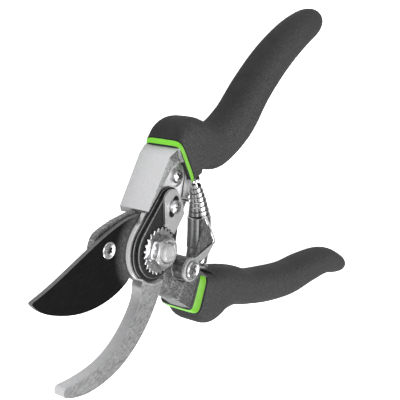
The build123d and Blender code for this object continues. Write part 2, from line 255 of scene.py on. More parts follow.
# ---- material helpers ---------------------------------------------------------------
class Finish:
    """One procedural material and the nodes that feed its shader."""

    def __init__(self, name, color, roughness, metallic=0.0):
        self.material = bpy.data.materials.new(name)
        self.material.use_nodes = True
        self.tree = self.material.node_tree
        self.shader = self.tree.nodes["Principled BSDF"]
        self.shader.inputs["Base Color"].default_value = (*color, 1)
        self.shader.inputs["Roughness"].default_value = roughness
        self.shader.inputs["Metallic"].default_value = metallic
        self.material.diffuse_color = (*color, 1)
        self.place = self.tree.nodes.new("ShaderNodeTexCoord").outputs["Object"]
        self.bump_chain = None

    def link(self, output, name):
        self.tree.links.new(output, self.shader.inputs[name])

    def stretch(self, scale, turn=(0, 0, 0)):
        """Object coordinates in millimetres, turned, then scaled along each axis."""
        step = self.tree.nodes.new("ShaderNodeMapping")
        step.inputs["Scale"].default_value = [1000 * value for value in scale]
        step.inputs["Rotation"].default_value = [radians(value) for value in turn]
        self.tree.links.new(self.place, step.inputs["Vector"])
        return step.outputs["Vector"]

    def noise(self, grain, detail=4.0, rough=0.55, turn=(0, 0, 0), distortion=0.0):
        """Noise whose features are about grain millimetres wide along each axis."""
        step = self.tree.nodes.new("ShaderNodeTexNoise")
        step.inputs["Scale"].default_value = 1.0
        step.inputs["Detail"].default_value = detail
        step.inputs["Roughness"].default_value = rough
        step.inputs["Distortion"].default_value = distortion
        scale = [1 / value for value in grain]
        self.tree.links.new(self.stretch(scale, turn), step.inputs["Vector"])
        return step.outputs["Fac"]

    def cells(self, grain):
        step = self.tree.nodes.new("ShaderNodeTexVoronoi")
        step.inputs["Scale"].default_value = 1.0
        self.tree.links.new(self.stretch([1 / grain] * 3), step.inputs["Vector"])
        return step.outputs["Distance"]

    def ramp(self, value, stops):
        """Colour ramp from (position, colour) pairs."""
        step = self.tree.nodes.new("ShaderNodeValToRGB")
        while len(step.color_ramp.elements) < len(stops):
            step.color_ramp.elements.new(0.5)
        for element, (position, color) in zip(step.color_ramp.elements, stops):
            element.position = position
            element.color = (*color, 1)
        self.tree.links.new(value, step.inputs["Fac"])
        return step.outputs["Color"]

    def greys(self, value, *stops):
        """Grey ramp from (position, brightness) pairs."""
        return self.ramp(value, [(position, grey(level)) for position, level in stops])

    def by_top(self, start, full, side, top):
        """side on upright faces, top on faces that look up, mixed between start and full."""
        return self.mix(self.range(self.facing("Z"), 0.0, 1.0, start, full), side, top)

    def rough(self, value, low, high):
        self.link(self.range(value, low, high), "Roughness")

    def range(self, value, low, high, from_low=0.3, from_high=0.7):
        step = self.tree.nodes.new("ShaderNodeMapRange")
        step.inputs["From Min"].default_value = from_low
        step.inputs["From Max"].default_value = from_high
        step.inputs["To Min"].default_value = low
        step.inputs["To Max"].default_value = high
        self.tree.links.new(value, step.inputs["Value"])
        return step.outputs["Result"]

    def mix(self, factor, first, second):
        step = self.tree.nodes.new("ShaderNodeMix")
        step.data_type = "RGBA"
        for name, value in (("Factor", factor), ("A", first), ("B", second)):
            sockets = [s for s in step.inputs if s.name == name and s.enabled]
            socket = sockets[0]
            if isinstance(value, bpy.types.NodeSocket):
                self.tree.links.new(value, socket)
            elif isinstance(value, (int, float)):
                socket.default_value = value
            else:
                socket.default_value = (*value, 1)
        return [s for s in step.outputs if s.enabled][0]

    def near_axis(self, none, full):
        """0 farther than none from the pivot axis, 1 nearer than full, in millimetres."""
        flat = self.tree.nodes.new("ShaderNodeMapping")
        flat.inputs["Scale"].default_value = (1000, 1000, 0)
        self.tree.links.new(self.place, flat.inputs["Vector"])
        reach = self.tree.nodes.new("ShaderNodeVectorMath")
        reach.operation = "LENGTH"
        self.tree.links.new(flat.outputs["Vector"], reach.inputs[0])
        return self.range(reach.outputs["Value"], 0.0, 1.0, none, full)

    def facing(self, axis):
        """How far the surface faces along an object axis, from -1 to 1."""
        texture = self.tree.nodes.new("ShaderNodeTexCoord")
        split = self.tree.nodes.new("ShaderNodeSeparateXYZ")
        self.tree.links.new(texture.outputs["Normal"], split.inputs["Vector"])
        return split.outputs[axis]

    def facing_toward(self, direction):
        """How far the surface faces along any direction, from -1 to 1."""
        texture = self.tree.nodes.new("ShaderNodeTexCoord")
        step = self.tree.nodes.new("ShaderNodeVectorMath")
        step.operation = "DOT_PRODUCT"
        step.inputs[1].default_value = direction
        self.tree.links.new(texture.outputs["Normal"], step.inputs[0])
        return step.outputs["Value"]

    def place_along(self, axis):
        """Object coordinate along an axis, in metres."""
        split = self.tree.nodes.new("ShaderNodeSeparateXYZ")
        self.tree.links.new(self.place, split.inputs["Vector"])
        return split.outputs[axis]

    def bump(self, height, depth, strength=1.0):
        """Adds relief; depth is in millimetres."""
        step = self.tree.nodes.new("ShaderNodeBump")
        step.inputs["Distance"].default_value = depth * MM
        step.inputs["Strength"].default_value = strength
        self.tree.links.new(height, step.inputs["Height"])
        if self.bump_chain is not None:
            self.tree.links.new(self.bump_chain, step.inputs["Normal"])
        self.bump_chain = step.outputs["Normal"]
        self.link(self.bump_chain, "Normal")


def grey(value):
    return (value, value, value * 1.01)


def satin_aluminium():
    finish = Finish("satin_aluminium", grey(0.6), 0.38, 0.9)
    mottle = finish.noise((1.1, 1.1, 1.1), 6, 0.7)
    fine = finish.noise((0.16, 0.16, 0.16), 3, 0.6)
    # upright sides and faces that look up take different greys: painted light and shade by which way the
    # surface faces
    side = finish.greys(mottle, (0.3, 0.47), (0.7, 0.54))
    top = finish.greys(mottle, (0.3, 0.2), (0.55, 0.45), (0.75, 0.7))
    finish.link(finish.by_top(0.5, 0.8, side, top), "Base Color")
    finish.rough(fine, 0.32, 0.48)
    finish.bump(mottle, 0.02, 0.4)
    finish.bump(fine, 0.006, 0.5)
    return finish.material


def cast_aluminium():
    finish = Finish("cast_aluminium", grey(0.55), 0.42, 0.9)
    mottle = finish.noise((0.7, 0.7, 1.6), 8, 0.75)
    pits = finish.cells(0.35)
    scored = finish.noise((0.35, 3.0, 3.0), 5, 0.7, turn=(0, 0, 45))
    cast = finish.greys(mottle, (0.3, 0.02), (0.5, 0.12), (0.72, 0.55))
    drawn = finish.greys(scored, (0.35, 0.01), (0.5, 0.15), (0.68, 0.8))
    finish.link(finish.mix(0.3, cast, drawn), "Base Color")
    finish.rough(mottle, 0.3, 0.55)
    finish.bump(mottle, 0.16, 0.7)
    finish.bump(pits, 0.05, 0.5)
    return finish.material


def grip_rubber():
    finish = Finish("grip_rubber", (0.03, 0.031, 0.032), 0.72)
    grain = finish.noise((0.55, 0.55, 0.55), 4, 0.75)
    cloud = finish.noise((9, 9, 9), 3, 0.5)
    # faces that look up take the lighter greys and upright sides the darker ones: painted light and shade
    low = finish.greys(grain, (0.35, 0.006), (0.65, 0.032))
    high = finish.greys(grain, (0.35, 0.016), (0.65, 0.100))
    base = finish.by_top(0.1, 0.95, low, high)
    finish.link(finish.mix(finish.range(cloud, 0.0, 0.3), base, grey(0.045)), "Base Color")
    finish.rough(grain, 0.62, 0.82)
    finish.bump(grain, 0.07, 0.8)
    finish.bump(finish.cells(0.55), 0.03, 0.5)
    finish.shader.inputs["Specular IOR Level"].default_value = 0.22
    return finish.material


def green_trim():
    finish = Finish("green_trim", (0.14, 0.72, 0.005), 0.42)
    cloud = finish.noise((3, 3, 3), 4, 0.5)
    grain = finish.noise((0.25, 0.25, 0.25), 2)
    # upright walls take the brighter green and faces that look up the darker one: painted light and shade
    wall = finish.ramp(cloud, [(0.3, (0.16, 0.60, 0.012)), (0.7, (0.20, 0.68, 0.016))])
    front = finish.ramp(cloud, [(0.3, (0.14, 0.42, 0.016)), (0.7, (0.17, 0.48, 0.020))])
    finish.link(finish.by_top(0.4, 0.9, wall, front), "Base Color")
    finish.rough(grain, 0.36, 0.5)
    finish.bump(grain, 0.015, 0.6)
    return finish.material


def hook_steel():
    finish = Finish("hook_steel", grey(0.5), 0.36, 0.9)
    brushed = finish.noise((1.7, 0.35, 1.0), 6, 0.75, turn=(0, 0, 20), distortion=0.4)
    mottle = finish.noise((1.3, 1.3, 1.3), 6, 0.7)
    top = finish.range(finish.facing("Z"), 0.0, 1.0, 0.2, 0.8)
    brushed_tone = finish.greys(brushed, (0.35, 0.08), (0.65, 0.62))
    mottled_tone = finish.greys(mottle, (0.32, 0.16), (0.68, 0.62))
    wall = finish.greys(mottle, (0.3, 0.42), (0.7, 0.50))
    rim = finish.near_axis(15.3, 14.8)
    wall = finish.mix(rim, wall, grey(0.95))
    finish.link(finish.range(rim, 0.9, 0.15, 0.0, 1.0), "Metallic")
    face = finish.mix(0.3, brushed_tone, mottled_tone)
    # the tang end, at larger x, sits down in the forging's pocket and is painted lighter there to offset the
    # shade: painted light
    tang = finish.range(finish.place_along("X"), 0.0, 1.0, 4 * MM, 16 * MM)
    face = finish.mix(tang, face, finish.greys(brushed, (0.3, 0.75), (0.7, 1.0)))
    finish.link(finish.mix(top, wall, face), "Base Color")
    finish.rough(brushed, 0.30, 0.5)
    finish.bump(brushed, 0.03, 0.5)
    finish.bump(mottle, 0.05, 0.3)
    return finish.material


def coated_blade():
    finish = Finish("coated_blade", grey(0.006), 0.34)
    finish.shader.inputs["Specular IOR Level"].default_value = 0.06
    grain = finish.noise((0.22, 0.22, 0.22), 3)
    scuff = finish.noise((5, 0.5, 5), 5, 0.65, turn=(0, 0, 35))
    mottle = finish.noise((0.9, 0.9, 0.9), 6, 0.75)
    coat = finish.greys(scuff, (0.45, 0.004), (0.75, 0.012))
    # near the pivot the flat face takes a lighter mottled ring, partly rubbed wear and partly painted
    # reflection
    wear_and_reflection = finish.greys(mottle, (0.3, 0.02), (0.6, 0.10), (0.8, 0.25))
    flat = finish.mix(finish.near_axis(21.5, 16.5), coat, wear_and_reflection)
    spine = finish.greys(mottle, (0.3, 0.08), (0.7, 0.2))
    finish.link(finish.by_top(0.3, 0.7, spine, flat), "Base Color")
    finish.rough(scuff, 0.30, 0.46)
    finish.bump(grain, 0.01, 0.5)
    return finish.material


def ground_edge():
    """The bare, brighter line where a dark coating has rubbed off an edge."""
    finish = Finish("ground_edge", grey(0.22), 0.4, 0.7)
    wear = finish.noise((0.8, 0.8, 0.8), 5, 0.7)
    finish.link(finish.greys(wear, (0.3, 0.07), (0.65, 0.32)), "Base Color")
    finish.rough(wear, 0.34, 0.55)
    finish.bump(wear, 0.02, 0.4)
    return finish.material


def black_plate():
    finish = Finish("black_plate", grey(0.02), 0.5, 0.0)
    finish.shader.inputs["Specular IOR Level"].default_value = 0.2
    grain = finish.noise((0.35, 0.35, 0.35), 5, 0.7)
    finish.link(finish.greys(grain, (0.35, 0.006), (0.7, 0.035)), "Base Color")
    finish.rough(grain, 0.38, 0.6)
    finish.bump(grain, 0.05, 0.7)
    return finish.material


def bright_chrome():
    finish = Finish("bright_chrome", grey(0.82), 0.14, 1.0)
    wipe = finish.noise((2.0, 2.0, 0.8), 5, 0.6)
    fine = finish.noise((0.6, 0.6, 0.6), 3)
    finish.link(finish.greys(wipe, (0.3, 0.66), (0.7, 0.9)), "Base Color")
    finish.rough(fine, 0.08, 0.22)
    finish.bump(fine, 0.004, 0.3)
    return finish.material


def spring_steel():
    """Polished strip whose colour is painted with reflection bands along its length, set by which way the
    surface faces.
    """
    finish = Finish("spring_steel", grey(0.75), 0.2, 0.85)
    # painted reflection: bright and dark bands along the strip, chosen by which way the surface faces
    reflection_facing = finish.range(finish.facing_toward((0.62, -0.2, 0.76)), 0.0, 1.0, -1.0, 1.0)
    painted_reflection_bands = finish.greys(reflection_facing, (0.0, 0.03), (0.12, 0.1), (0.22, 0.7), (0.42, 0.75),
                           (0.48, 0.12), (0.54, 0.6), (0.62, 0.8), (0.78, 0.75),
                           (0.86, 0.08), (0.94, 0.6), (1.0, 0.3))
    wipe = finish.noise((1.5, 1.5, 1.5), 4, 0.6)
    finish.link(finish.mix(finish.range(wipe, 0.0, 0.15), painted_reflection_bands, grey(0.5)), "Base Color")
    finish.rough(wipe, 0.16, 0.28)
    finish.bump(wipe, 0.004, 0.3)
    return finish.material


def nut_zinc():
    """Bright plated steel, smooth, with a slightly clouded face; sides and top take different greys, painted
    light and shade.
    """
    finish = Finish("nut_zinc", grey(0.8), 0.28, 1.0)
    cloud = finish.noise((1.6, 1.6, 1.6), 4, 0.6)
    # upright sides and the top face take different greys: painted light and shade
    side = finish.greys(cloud, (0.35, 0.3), (0.6, 0.85))
    top = finish.greys(cloud, (0.3, 0.62), (0.7, 0.8))
    finish.link(finish.by_top(0.3, 0.7, side, top), "Base Color")
    finish.rough(cloud, 0.24, 0.36)
    finish.bump(cloud, 0.004, 0.3)
    return finish.material


def lock_plate_steel():
    finish = Finish("lock_plate_steel", grey(0.55), 0.38, 0.9)
    brushed = finish.noise((0.9, 0.14, 0.6), 5, 0.7, turn=(0, 0, -50))
    grain = finish.noise((0.4, 0.4, 0.4), 5, 0.7)
    finish.link(finish.mix(0.5, finish.greys(brushed, (0.3, 0.36), (0.7, 0.76)),
                           finish.greys(grain, (0.3, 0.3), (0.7, 0.8))),
                "Base Color")
    finish.rough(brushed, 0.3, 0.5)
    finish.bump(grain, 0.05, 0.6)
    return finish.material


def polished_edge():
    finish = Finish("polished_edge", grey(0.85), 0.25, 0.6)
    wipe = finish.noise((1.0, 1.0, 1.0), 4, 0.6)
    finish.link(finish.greys(wipe, (0.3, 0.45), (0.7, 0.62)), "Base Color")
    finish.rough(wipe, 0.38, 0.52)
    finish.bump(wipe, 0.01, 0.4)
    return finish.material


def screw_steel():
    finish = Finish("screw_steel", grey(0.74), 0.2, 1.0)
    mottle = finish.noise((0.5, 0.5, 0.5), 6, 0.7)
    finish.link(finish.greys(mottle, (0.3, 0.58), (0.7, 0.9)), "Base Color")
    finish.rough(mottle, 0.14, 0.34)
    finish.bump(mottle, 0.012, 0.4)
    return finish.material


def bush_brass():
    finish = Finish("bush_brass", (0.72, 0.52, 0.22), 0.3, 1.0)
    turned = finish.noise((3, 3, 0.12), 4)
    finish.link(finish.ramp(turned, [(0.3, (0.62, 0.44, 0.17)), (0.7, (0.8, 0.6, 0.28))]),
                "Base Color")
    finish.rough(turned, 0.22, 0.4)
    finish.bump(turned, 0.01, 0.4)
    return finish.material


def painted_recess_shade():
    """Painted shade: dark metal colour down inside screw recesses and holes, and on the hidden faces of the
    spring strip.
    """
    finish = Finish("painted_recess_shade", grey(0.12), 0.45, 0.9)
    shade_mottle = finish.noise((0.5, 0.5, 0.5), 4)
    finish.link(finish.greys(shade_mottle, (0.3, 0.06), (0.7, 0.3)), "Base Color")
    finish.rough(shade_mottle, 0.4, 0.7)
    finish.bump(shade_mottle, 0.02, 0.4)
    return finish.material


MATERIALS = {make.__name__: make() for make in (
    satin_aluminium, cast_aluminium, grip_rubber, green_trim, hook_steel, coated_blade,
    ground_edge, black_plate, bright_chrome, spring_steel, nut_zinc, lock_plate_steel,
    polished_edge, screw_steel, bush_brass, painted_recess_shade)}


def dress(piece, *names):
    """Gives the piece these materials, in slot order; faces keep the slots they have."""
    if piece.data.materials:
        piece.data.materials.clear()
    for name in names:
        piece.data.materials.append(MATERIALS[name])
    return piece


# ---- grips and their trims ------------------------------------------------------------
GRIP_MID = node_centre("upper_grip").z
# centre x, centre y, half width, half depth, squareness of the section
UPPER_GRIP = [
    (32.0, 25.4, 11.4, 10.5, 6.0), (40.2, 26.5, 14.0, 10.9, 4.0),
    (49.0, 22.6, 11.2, 10.6, 3.0), (60.7, 15.8, 11.0, 9.4, 2.5),
    (80.0, 16.9, 10.3, 10.0, 2.4), (99.6, 24.3, 9.1, 10.0, 2.4),
    (120.0, 29.8, 9.2, 9.5, 2.4), (140.0, 32.5, 9.3, 8.7, 2.3),
    (156.0, 32.6, 8.8, 7.6, 2.2), (165.5, 31.4, 7.4, 6.6, 2.1),
    (171.3, 29.9, 4.3, 4.2, 2.0), (172.8, 29.5, 1.4, 1.4, 2.0),
]
LOWER_GRIP = [
    (18.6, -40.3, 9.5, 10.3, 6.0), (24.6, -47.6, 12.6, 10.9, 4.0),
    (35.8, -52.0, 11.4, 10.9, 3.0), (47.0, -59.0, 10.2, 10.0, 2.5),
    (57.3, -68.3, 9.3, 9.0, 2.4), (75.0, -80.6, 9.6, 9.8, 2.4),
    (95.0, -92.1, 9.4, 10.0, 2.4), (115.6, -100.3, 8.8, 9.7, 2.4),
    (135.3, -110.0, 8.1, 8.6, 2.3), (148.0, -121.2, 6.4, 7.0, 2.2),
    (155.2, -128.0, 4.2, 4.6, 2.1), (158.2, -130.9, 1.4, 1.4, 2.0),
]
UPPER_MOUTH = 6.0
LOWER_MOUTH = -44.5
UPPER_TRIM = [(29.9, 24.0, 10.0, 9.5, 9.0), UPPER_GRIP[0]]
LOWER_TRIM = [(14.2, -34.9, 8.5, 9.3, 9.0), LOWER_GRIP[0]]


def smooth_run(stations, per_span):
    """Cubic interpolation through the stations, evenly spaced by chord."""
    reach = [0.0]
    for before, after in zip(stations, stations[1:]):
        reach.append(reach[-1] + Vector((after[0] - before[0], after[1] - before[1])).length)
    last = len(stations) - 1
    slopes = []
    for place in range(len(stations)):
        low = max(place - 1, 0)
        high = min(place + 1, last)
        slopes.append([(b - a) / (reach[high] - reach[low])
                       for a, b in zip(stations[low], stations[high])])
    run = []
    for span in range(last):
        width = reach[span + 1] - reach[span]
        for step in range(per_span + (span == last - 1)):
            u = step / per_span
            blend = (2 * u**3 - 3 * u**2 + 1, u**3 - 2 * u**2 + u, 3 * u**2 - 2 * u**3,
                     u**3 - u**2)
            run.append([blend[0] * a + blend[1] * width * sa + blend[2] * b
                        + blend[3] * width * sb
                        for a, sa, b, sb in zip(stations[span], slopes[span],
                                                stations[span + 1], slopes[span + 1])])
    return run


def section(station, heading, grow=0.0, steps=72):
    """A rounded, superelliptic section that faces along heading (in degrees)."""
    x, y, half_width, half_depth, squareness = station
    turn = radians(heading)
    loop = []
    for step in range(steps):
        angle = tau * (step + 0.5) / steps
        c = cos(angle)
        s = sin(angle)
        across = (half_width + grow) * (1 if c > 0 else -1) * abs(c) ** (2 / squareness)
        rise = (half_depth + grow) * (1 if s > 0 else -1) * abs(s) ** (2 / squareness)
        loop.append((x - across * sin(turn), y + across * cos(turn), GRIP_MID + rise))
    return loop


def grip(node, stations, mouth):
    run = smooth_run(stations, 9)
    loops = [section(run[0], mouth, -1.5), section(run[0], mouth, -0.5)]
    for place, station in enumerate(run):
        before = run[max(place - 1, 0)]
        after = run[min(place + 1, len(run) - 1)]
        heading = degrees(atan2(after[1] - before[1], after[0] - before[0]))
        settle = max(0.0, 1 - place / 9)
        heading += settle * (mouth - heading)
        loops.append(section(station, heading))
    piece = loft("look_" + node, loops)
    dress(piece, "grip_rubber")
    shade(piece, 50)
    return stand_for(piece, node)


def trim(node, stations, start_heading, end_heading):
    """A moulded ring between the forging and the grip, its outer edges rounded."""
    steps = 7
    loops = []
    for step in range(steps):
        share = step / (steps - 1)
        station = [a + share * (b - a) for a, b in zip(*stations)]
        heading = start_heading + share * (end_heading - start_heading)
        edge = min(share, 1 - share)
        sink = -0.45 if edge < 0.01 else (-0.05 if edge < 0.2 else 0.12)
        loops.append(section(station, heading, sink))
    for share in (1.0, 0.0):
        station = [a + share * (b - a) for a, b in zip(*stations)]
        heading = start_heading + share * (end_heading - start_heading)
        loops.append(section(station, heading, -1.9))
    piece = loft("look_" + node, loops, True)
    dress(piece, "green_trim", "grip_rubber")
    count = len(loops[0])
    # the two rims take the dark rubber: painted shadow lines where the trim meets the grip and the forging
    for face in piece.data.polygons:
        row = min(face.vertices) // count
        if row in (0, steps - 2):
            face.material_index = 1
    shade(piece, 50)
    return stand_for(piece, node)


grip("upper_grip", UPPER_GRIP, UPPER_MOUTH)
grip("lower_grip", LOWER_GRIP, LOWER_MOUTH)
trim("upper_trim", UPPER_TRIM, UPPER_MOUTH, UPPER_MOUTH)
trim("lower_trim", LOWER_TRIM, -47.0, LOWER_MOUTH)


# ---- forgings, hook and plates ------------------------------------------------------------
def worked(node, width, materials, segments=3, edge_slot=-1, angle=32):
    """The CAD node with its sharp edges rounded and its own finish."""
    piece = from_cad(node)
    dress(piece, *materials)
    soften(piece, width, segments, angle, edge_slot)
    shade(piece)
    return stand_for(piece, node)


worked("hook_blade", 0.55, ["hook_steel"], 3)
worked("cover_plate_under", 0.3, ["black_plate", "ground_edge"], 2, 1)
worked("cover_plate", 0.4, ["black_plate", "ground_edge"], 2, 1)
worked("toothed_disc", 0.22, ["bright_chrome"], 2)
worked("lock_plate", 0.45, ["lock_plate_steel", "polished_edge"], 3, 1)
worked("cutting_blade", 0.3, ["coated_blade", "ground_edge"], 2)


def on_circle(radius, angle, centre=(0, 0)):
    return (centre[0] + radius * cos(radians(angle)), centre[1] + radius * sin(radians(angle)))


def arc(centre, radius, start, end, steps=24):
    """Points along an arc, its ends included; angles in degrees."""
    return [on_circle(radius, start + (end - start) * step / steps, centre)
            for step in range(steps + 1)]


def link_outline(start, start_r, end, end_r, steps=48):
    """Outline of two circles joined by their outer tangents."""
    gap = Vector(end) - Vector(start)
    heading = degrees(atan2(gap.y, gap.x))
    swing = degrees(acos((start_r - end_r) / gap.length))
    near = arc(start, start_r, heading + swing, heading + 360 - swing, steps)
    far = arc(end, end_r, heading - swing, heading + swing, steps)
    return near + far


def upper_forging():
    """The polished head of the upper handle, with the pocket that holds the hook's tang."""
    outline = arc((0, 0), FORGING_CLEAR_R, -11.5, 82, 40)
    outline += [(2.5, 18.4), (23.5, 32.3), (27.7, 33.6), (37.0, 33.3), (37.5, 17.2),
                (36.0, 15.6), (30.6, 14.0), (28.8, 11.9)]
    piece = prism("look_upper_handle_forging", outline, 2.0, MOUTH_TOP)
    side = [(-5, 3), (2, 3), (29.0, 2.0), (45, 2.0), (45, MOUTH_TOP),
            (27.7, MOUTH_TOP), (23.5, FORGING_TOP), (-5, FORGING_TOP)]
    boolean(piece, loft("side", [[(x, y, z) for x, z in side] for y in (-20, 60)]),
            "INTERSECT")
    pocket = link_outline((0, 0), HUB_R + 2.5, TANG_END, 6.6)
    boolean(piece, prism("pocket", pocket, TANG_LEVEL, 23))
    dress(piece, "satin_aluminium", "polished_edge", "cast_aluminium")
    soften(piece, 0.5, 4, 20, 1)
    # the slope up to the mouth is left as cast
    for face in piece.data.polygons:
        if face.normal.x < -0.2 and face.normal.z > 0.85 and face.material_index == 0:
            face.material_index = 2
    shade(piece)
    stand_for(piece, "upper_handle_forging")


upper_forging()


def remesh(piece, cell, smooth=2):
    """One closed skin over all of the piece's solids, its edges lightly rounded."""
    step = piece.modifiers.new("remesh", "REMESH")
    step.mode = "VOXEL"
    step.voxel_size = cell * MM
    ease = piece.modifiers.new("smooth", "SMOOTH")
    ease.factor = 0.5
    ease.iterations = smooth
    return apply_modifiers(piece)


def joined(name, *pieces):
    """Puts several closed meshes into one object."""
    shape = bmesh.new()
    for piece in pieces:
        shape.from_mesh(piece.data)
        bpy.data.objects.remove(piece)
    mesh = bpy.data.meshes.new(name)
    shape.to_mesh(mesh)
    shape.free()
    return add_object(name, mesh)


CATCH = node_centre("catch_screw").xy


def lower_forging():
    """The cast head of the lower handle: carrier, blade nose, neck and catch boss."""
    carrier = lathe("carrier", [(HUB_R, CARRIER_LOW), (HUB_R, CARRIER_TOP)], (0, 0), 128)
    nose = prism("nose", link_outline((0, 0), HUB_R, BLADE_NOSE, BLADE_NOSE_R),
                 NOSE_LOW, CARRIER_TOP)
    shoulder = prism("shoulder", [(0, 0), on_circle(18.0, 83), (-10, 21.0), (-18, 22.1),
                                  BLADE_NOSE], NOSE_LOW, CARRIER_TOP)
    neck = prism("neck", [(-7.0, -9.0), (6.0, -29.5), (14.0, -46.0), (27.0, -36.0),
                          (22.0, -23.0), (11.0, -11.5), (0, 0)], CARRIER_LOW, CARRIER_TOP)
    hub_clear = arc((0, 0), 15.5, -54, -76, 12)
    terrace = prism("terrace", hub_clear + [(2.2, -29.8), (9.0, -41.5), (17.0, -47.0),
                                            (29.0, -37.5), (22.6, -27.0), (20.3, -20.0),
                                            (17.0, -16.2)], 8.5, 15.8)
    foot = [(8.4, -23.7), (1.8, -28.0), (3.2, -31.8), (9.0, -41.5), (17.0, -47.0),
            (28.5, -37.5), (22.6, -27.0), (18.5, -24.6)]
    crest = [(10.2, -25.8), (3.1, -30.4), (3.9, -32.4), (9.0, -40.5), (17.0, -46.0),
             (27.5, -37.5), (21.8, -27.6), (18.5, -25.6)]
    top = loft("top", [[(x, y, level) for x, y in shape] for shape, level in
                       ((foot, 12.0), (foot, 15.9), (crest, 20.0))])
    boss = lathe("boss", [(5.3, 8.0), (5.3, 21.55)], CATCH, 96)
    core = prism("core", [(9.0, -36.0), (18.0, -46.0), (27.0, -37.0), (20.0, -30.0)], 1.2, 12)
    piece = joined("look_lower_handle_forging", carrier, nose, shoulder, neck, terrace, top,
                   boss, core)
    remesh(piece, 0.3, 3)
    for bore in (lathe("bore", [(5.5, 0), (5.5, 20)], (0, 0)),
                 lathe("screw_bore", [(2.2, 5), (2.2, 20)], node_centre("blade_screw").xy),
                 lathe("catch_bore", [(2.0, 9), (2.0, 30)], CATCH)):
        boolean(piece, bore)
    dress(piece, "cast_aluminium")
    shade(piece, 60)
    stand_for(piece, "lower_handle_forging")


lower_forging()


def bar(name, points, radius, steps=12):
    """A round bar along points in space, its ends closed."""
    loops = []
    for place, point in enumerate(points):
        before = Vector(points[max(place - 1, 0)])
        after = Vector(points[min(place + 1, len(points) - 1)])
        along = (after - before).normalized()
        side = along.cross(Vector((0, 0, 1))).normalized()
        rise = side.cross(along)
        loops.append([tuple(Vector(point) + radius * (cos(tau * s / steps) * side
                                                      + sin(tau * s / steps) * rise))
                      for s in range(steps)])
    return loft(name, loops)


def sheet_between(name, upper, lower, thickness):
    """A folded sheet between two edges that have the same number of points."""
    normal = (Vector(upper[1]) - Vector(upper[0])).cross(Vector(lower[0]) - Vector(upper[0]))
    shift = normal.normalized() * thickness
    return loft(name, [upper + lower[::-1],
                       [tuple(Vector(p) + shift) for p in upper + lower[::-1]]])


def catch_lever():
    """A pressed triangular lever: an eye, a sunken web, a rolled rim and a folded skirt."""
    web = prism("web", [(15.0, -15.2), (19.2, -16.2), (24.0, -12.0), (29.7, -8.2), (27.8, -6.0),
                        (29.4, -4.5), (31.3, -2.9), (33.6, -18.6), (26.0, -20.5), (17.4, -23.8)],
                21.6, 22.2)
    eye = tube("eye", [(2.66, LEVER_EYE), (5.3, LEVER_EYE), (5.5, 22.0), (5.5, 22.9), (5.3, 23.2),
                       (4.75, 23.2), (4.55, 22.9), (4.55, 22.5), (2.66, 22.5)], CATCH)
    rim = bar("rim", [(18.0, -17.2, 22.6), (19.6, -17.7, 22.7), (26.0, -18.3, 23.0),
                      (32.6, -18.9, 23.1), (33.5, -18.6, 23.1), (33.6, -17.6, 23.1),
                      (32.9, -11.0, 23.0), (31.7, -3.4, 22.8), (31.0, -2.4, 22.6),
                      (29.8, -3.6, 22.4)], 0.42)
    skirt = sheet_between("skirt", [(18.6, -18.0, 22.5), (33.6, -19.0, 23.0)],
                          [(18.9, -22.6, 21.9), (28.5, -23.4, 21.3)], 0.6)
    # the sunken web is dark, the rest of the lever bright
    for face in web.data.polygons:
        face.material_index = 1
    piece = joined("look_catch_lever", web, eye, rim, skirt)
    dress(piece, "polished_edge", "cast_aluminium")
    shade(piece, 35)
    stand_for(piece, "catch_lever")


catch_lever()


# ---- screws, bolt, nut and washers --------------------------------------------------------
def cross_cutter(centre, top, reach, width, depth, turn):
    """The tapering four-armed recess of a cross-head screw."""
    outline = []
    for arm in range(4):
        base = turn + 90 * arm
        for offset, side in ((reach, -width / 2), (reach, width / 2), (width * 0.62, 45.0)):
            if side == 45.0:
                angle = radians(base + 45)
                outline.append((offset * cos(angle), offset * sin(angle)))
            else:
                angle = radians(base)
                outline.append((offset * cos(angle) - side * sin(angle),
                                offset * sin(angle) + side * cos(angle)))
    loops = []
    for share, level in ((1.15, top + 0.6), (0.9, top - depth * 0.35), (0.35, top - depth)):
        loops.append([(centre[0] + share * x, centre[1] + share * y, level)
                      for x, y in outline])
    return loft("cross_cutter", loops)


def recess(piece, cutter):
    """Cuts a recess whose walls take the piece's second material, which is painted shade."""
    cutter.data.materials.append(MATERIALS["screw_steel"])
    cutter.data.materials.append(MATERIALS["painted_recess_shade"])
    for face in cutter.data.polygons:
        face.material_index = 1
    return boolean(piece, cutter)


def pan_screw(node, shank_r, head_r, head_low, top, turn, arm=0.62, dome=0.35):
    """A pan-head screw with a cross recess."""
    low, high = node_box(node)
    centre = ((low.x + high.x) / 2, (low.y + high.y) / 2)
    height = top - head_low
    profile = [(shank_r, low.z), (shank_r, head_low), (head_r - 0.15, head_low),
               (head_r, head_low + 0.15), (head_r, head_low + height * 0.45)]
    for step in range(1, 7):
        angle = step / 6 * pi / 2
        profile.append((head_r - dome * head_r * (1 - cos(angle)),
                        head_low + height * (0.45 + 0.45 * sin(angle))))
    profile.append((head_r * (1 - dome) * 0.5, top - 0.02 * height))
    profile.append((0, top))
    piece = lathe("look_" + node, profile, centre)
    dress(piece, "screw_steel", "painted_recess_shade")
    cutter = cross_cutter(centre, top, head_r * arm, head_r * 0.3, height * 0.75, turn)
    recess(piece, cutter)
    shade(piece, 35)
    return stand_for(piece, node)


pan_screw("hook_screw", 2.4, 3.2, 16.2, 18.9, 20)
pan_screw("lock_screw", 2.0, 3.1, 21.5, 23.7, 55)


